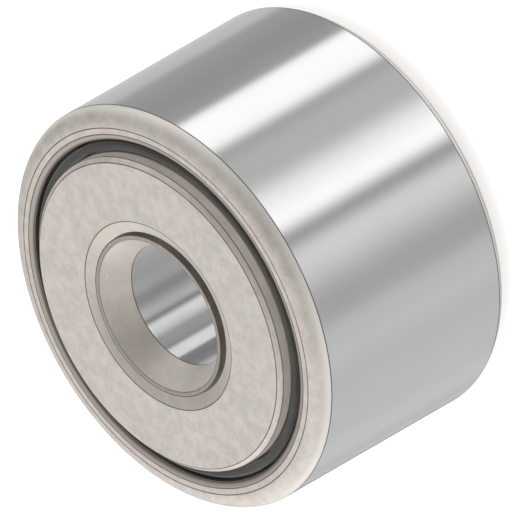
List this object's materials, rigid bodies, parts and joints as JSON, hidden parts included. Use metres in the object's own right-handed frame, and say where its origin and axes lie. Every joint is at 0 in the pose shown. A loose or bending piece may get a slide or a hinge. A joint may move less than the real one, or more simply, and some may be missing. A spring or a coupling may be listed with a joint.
{
  "type": "support roller",
  "caption": "Sealed yoke-type support roller with a cylindrical outer ring that turns on caged needle rollers round an inner ring, between pressed end plates.",
  "frame": {"origin": "on the roller's axis, in the plane of the lower end face", "axes": "+Z along the roller's axis, from the lower end face to the upper end face; the first needle roller and the oil hole lie towards +X"},
  "size_m": [0.0318, 0.0318, 0.0206],
  "materials": {
    "outer_ring": "polished",
    "inner_ring": "polished",
    "end_plate": "satin",
    "seal": "matte",
    "cage": "satin",
    "needle": "polished"
  },
  "bodies": {
    "inner": {"inner_ring": "inner_ring", "upper_end_plate": "end_plate", "lower_end_plate": "end_plate"},
    "outer": {"outer_ring": "outer_ring", "upper_seal_ring": "seal", "lower_seal_ring": "seal"},
    "cage": {"needle_cage": "cage"},
    "needle_01": {"needle_01": "needle"},
    "needle_02": {"needle_02": "needle"},
    "needle_03": {"needle_03": "needle"},
    "needle_04": {"needle_04": "needle"},
    "needle_05": {"needle_05": "needle"},
    "needle_06": {"needle_06": "needle"},
    "needle_07": {"needle_07": "needle"},
    "needle_08": {"needle_08": "needle"},
    "needle_09": {"needle_09": "needle"},
    "needle_10": {"needle_10": "needle"},
    "needle_11": {"needle_11": "needle"},
    "needle_12": {"needle_12": "needle"},
    "needle_13": {"needle_13": "needle"},
    "needle_14": {"needle_14": "needle"}
  },
  "joints": [
    {"name": "outer_spin", "type": "hinge", "parent": "inner", "child": "outer", "pos_m": [0, 0, 0.01032], "axis": [0, 0, 1], "continuous": true},
    {"name": "cage_spin", "type": "hinge", "parent": "inner", "child": "cage", "pos_m": [0, 0, 0.01032], "axis": [0, 0, 1], "continuous": true},
    {"name": "needle_01_spin", "type": "hinge", "parent": "cage", "child": "needle_01", "pos_m": [0.0095, 0, 0.01032], "axis": [0, 0, 1], "continuous": true},
    {"name": "needle_02_spin", "type": "hinge", "parent": "cage", "child": "needle_02", "pos_m": [0.00856, 0.00412, 0.01032], "axis": [0, 0, 1], "continuous": true},
    {"name": "needle_03_spin", "type": "hinge", "parent": "cage", "child": "needle_03", "pos_m": [0.00592, 0.00743, 0.01032], "axis": [0, 0, 1], "continuous": true},
    {"name": "needle_04_spin", "type": "hinge", "parent": "cage", "child": "needle_04", "pos_m": [0.00211, 0.00926, 0.01032], "axis": [0, 0, 1], "continuous": true},
    {"name": "needle_05_spin", "type": "hinge", "parent": "cage", "child": "needle_05", "pos_m": [-0.00211, 0.00926, 0.01032], "axis": [0, 0, 1], "continuous": true},
    {"name": "needle_06_spin", "type": "hinge", "parent": "cage", "child": "needle_06", "pos_m": [-0.00592, 0.00743, 0.01032], "axis": [0, 0, 1], "continuous": true},
    {"name": "needle_07_spin", "type": "hinge", "parent": "cage", "child": "needle_07", "pos_m": [-0.00856, 0.00412, 0.01032], "axis": [0, 0, 1], "continuous": true},
    {"name": "needle_08_spin", "type": "hinge", "parent": "cage", "child": "needle_08", "pos_m": [-0.0095, 0, 0.01032], "axis": [0, 0, 1], "continuous": true},
    {"name": "needle_09_spin", "type": "hinge", "parent": "cage", "child": "needle_09", "pos_m": [-0.00856, -0.00412, 0.01032], "axis": [0, 0, 1], "continuous": true},
    {"name": "needle_10_spin", "type": "hinge", "parent": "cage", "child": "needle_10", "pos_m": [-0.00592, -0.00743, 0.01032], "axis": [0, 0, 1], "continuous": true},
    {"name": "needle_11_spin", "type": "hinge", "parent": "cage", "child": "needle_11", "pos_m": [-0.00211, -0.00926, 0.01032], "axis": [0, 0, 1], "continuous": true},
    {"name": "needle_12_spin", "type": "hinge", "parent": "cage", "child": "needle_12", "pos_m": [0.00211, -0.00926, 0.01032], "axis": [0, 0, 1], "continuous": true},
    {"name": "needle_13_spin", "type": "hinge", "parent": "cage", "child": "needle_13", "pos_m": [0.00592, -0.00743, 0.01032], "axis": [0, 0, 1], "continuous": true},
    {"name": "needle_14_spin", "type": "hinge", "parent": "cage", "child": "needle_14", "pos_m": [0.00856, -0.00412, 0.01032], "axis": [0, 0, 1], "continuous": true}
  ],
  "couplings": [
    {"joint": "cage_spin", "follows": "outer_spin", "ratio": 0.57895},
    {"joint": "needle_01_spin", "follows": "outer_spin", "ratio": 3.0877},
    {"joint": "needle_02_spin", "follows": "outer_spin", "ratio": 3.0877},
    {"joint": "needle_03_spin", "follows": "outer_spin", "ratio": 3.0877},
    {"joint": "needle_04_spin", "follows": "outer_spin", "ratio": 3.0877},
    {"joint": "needle_05_spin", "follows": "outer_spin", "ratio": 3.0877},
    {"joint": "needle_06_spin", "follows": "outer_spin", "ratio": 3.0877},
    {"joint": "needle_07_spin", "follows": "outer_spin", "ratio": 3.0877},
    {"joint": "needle_08_spin", "follows": "outer_spin", "ratio": 3.0877},
    {"joint": "needle_09_spin", "follows": "outer_spin", "ratio": 3.0877},
    {"joint": "needle_10_spin", "follows": "outer_spin", "ratio": 3.0877},
    {"joint": "needle_11_spin", "follows": "outer_spin", "ratio": 3.0877},
    {"joint": "needle_12_spin", "follows": "outer_spin", "ratio": 3.0877},
    {"joint": "needle_13_spin", "follows": "outer_spin", "ratio": 3.0877},
    {"joint": "needle_14_spin", "follows": "outer_spin", "ratio": 3.0877}
  ]
}
